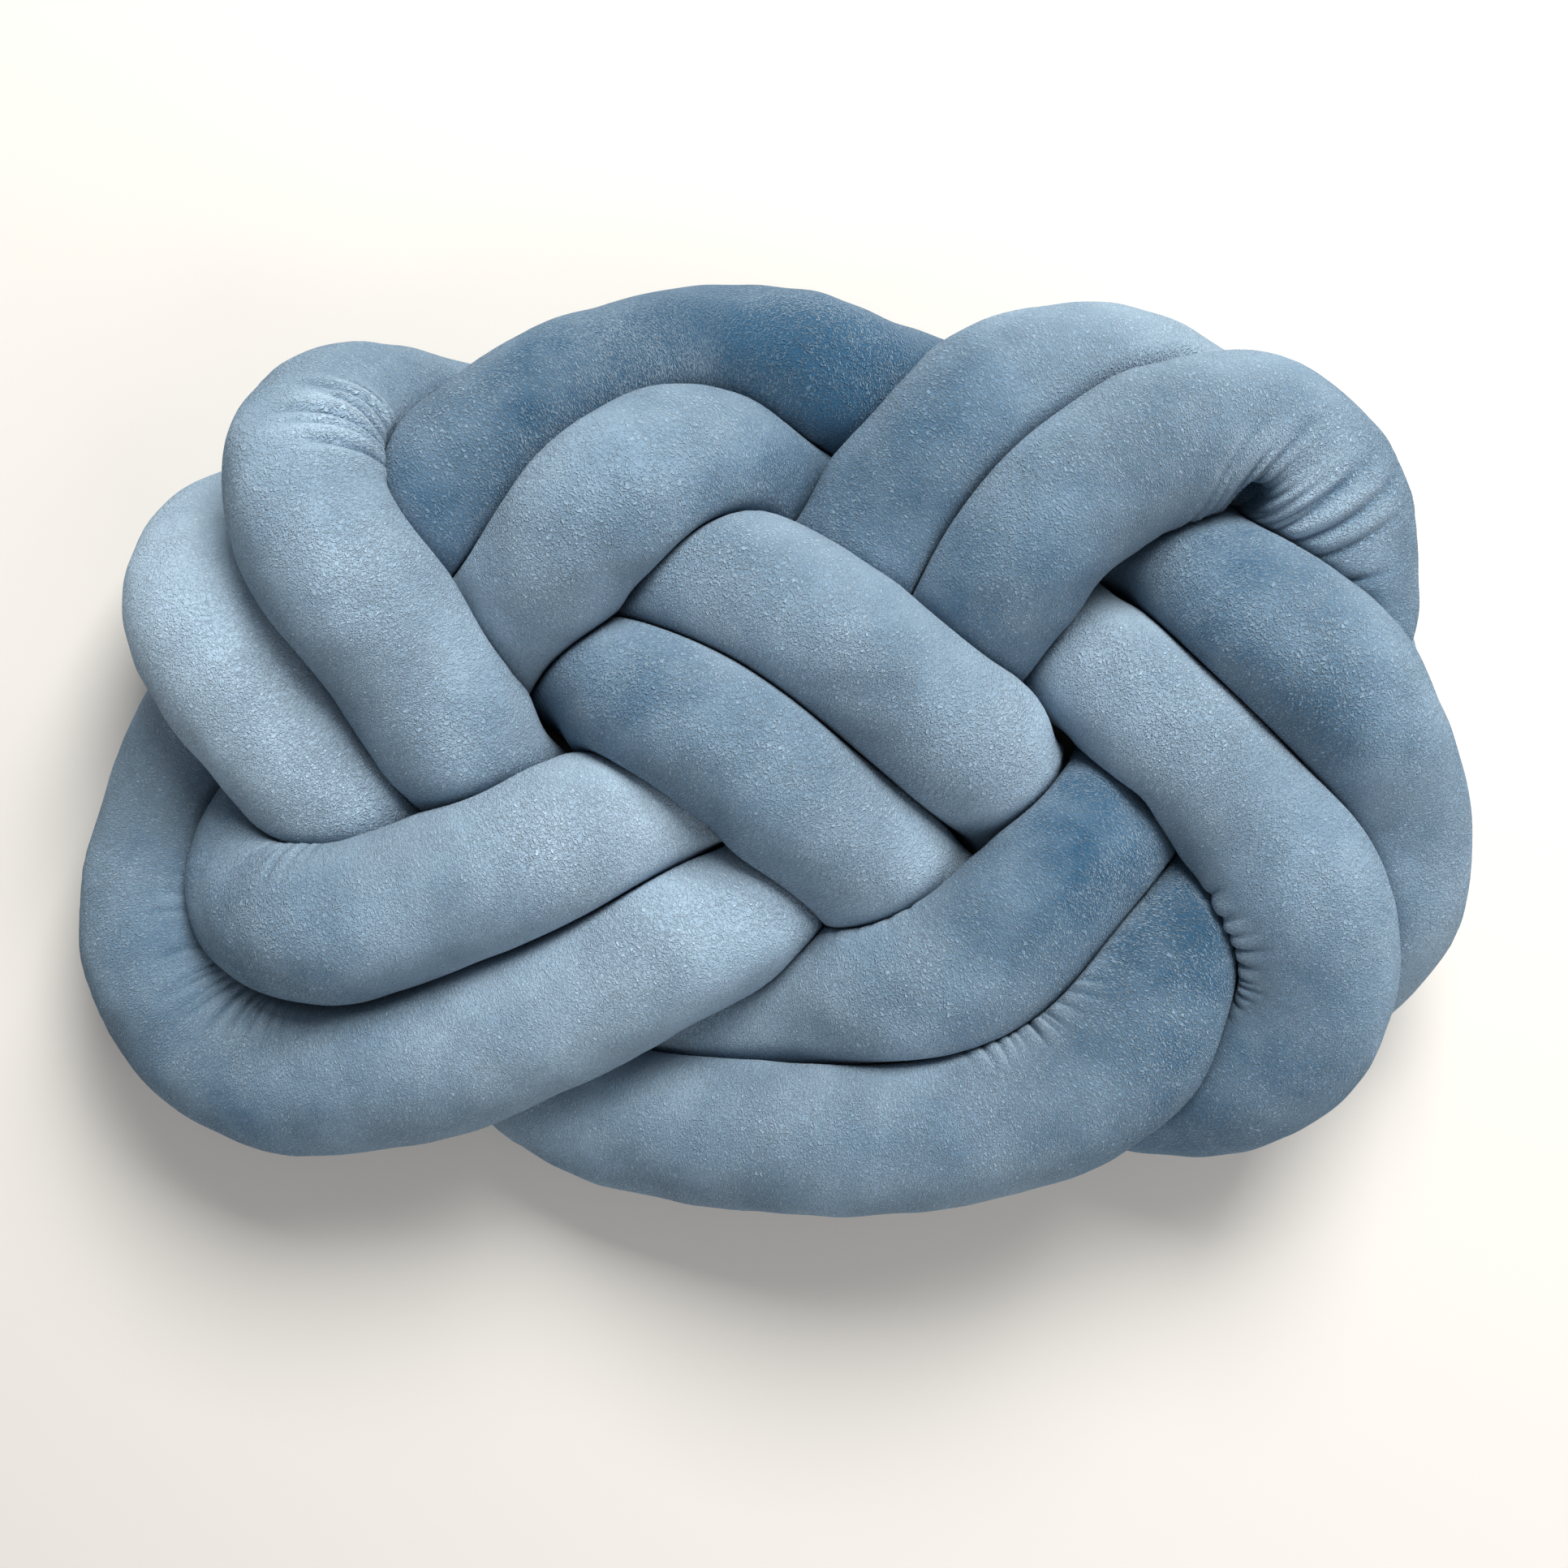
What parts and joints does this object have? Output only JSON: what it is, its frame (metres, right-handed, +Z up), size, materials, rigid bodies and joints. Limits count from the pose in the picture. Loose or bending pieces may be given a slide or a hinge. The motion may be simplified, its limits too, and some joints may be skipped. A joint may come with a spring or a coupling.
{
  "type": "knot cushion",
  "caption": "Knot-shaped sofa cushion of long stuffed plush tubes woven side by side into a flat oval pad.",
  "frame": {"origin": "middle of the bounding box, on the floor that the cushion's back lies on", "axes": "+Z up out of the cushion's front face, +X along its length to the right as seen from the front, +Y towards its top edge"},
  "size_m": [0.5972, 0.3968, 0.1516],
  "materials": {
    "plush": "light steel-blue short-pile plush with a soft sheen"
  },
  "bodies": {
    "root": {"first_tube": "plush", "second_tube": "plush"}
  },
  "joints": []
}
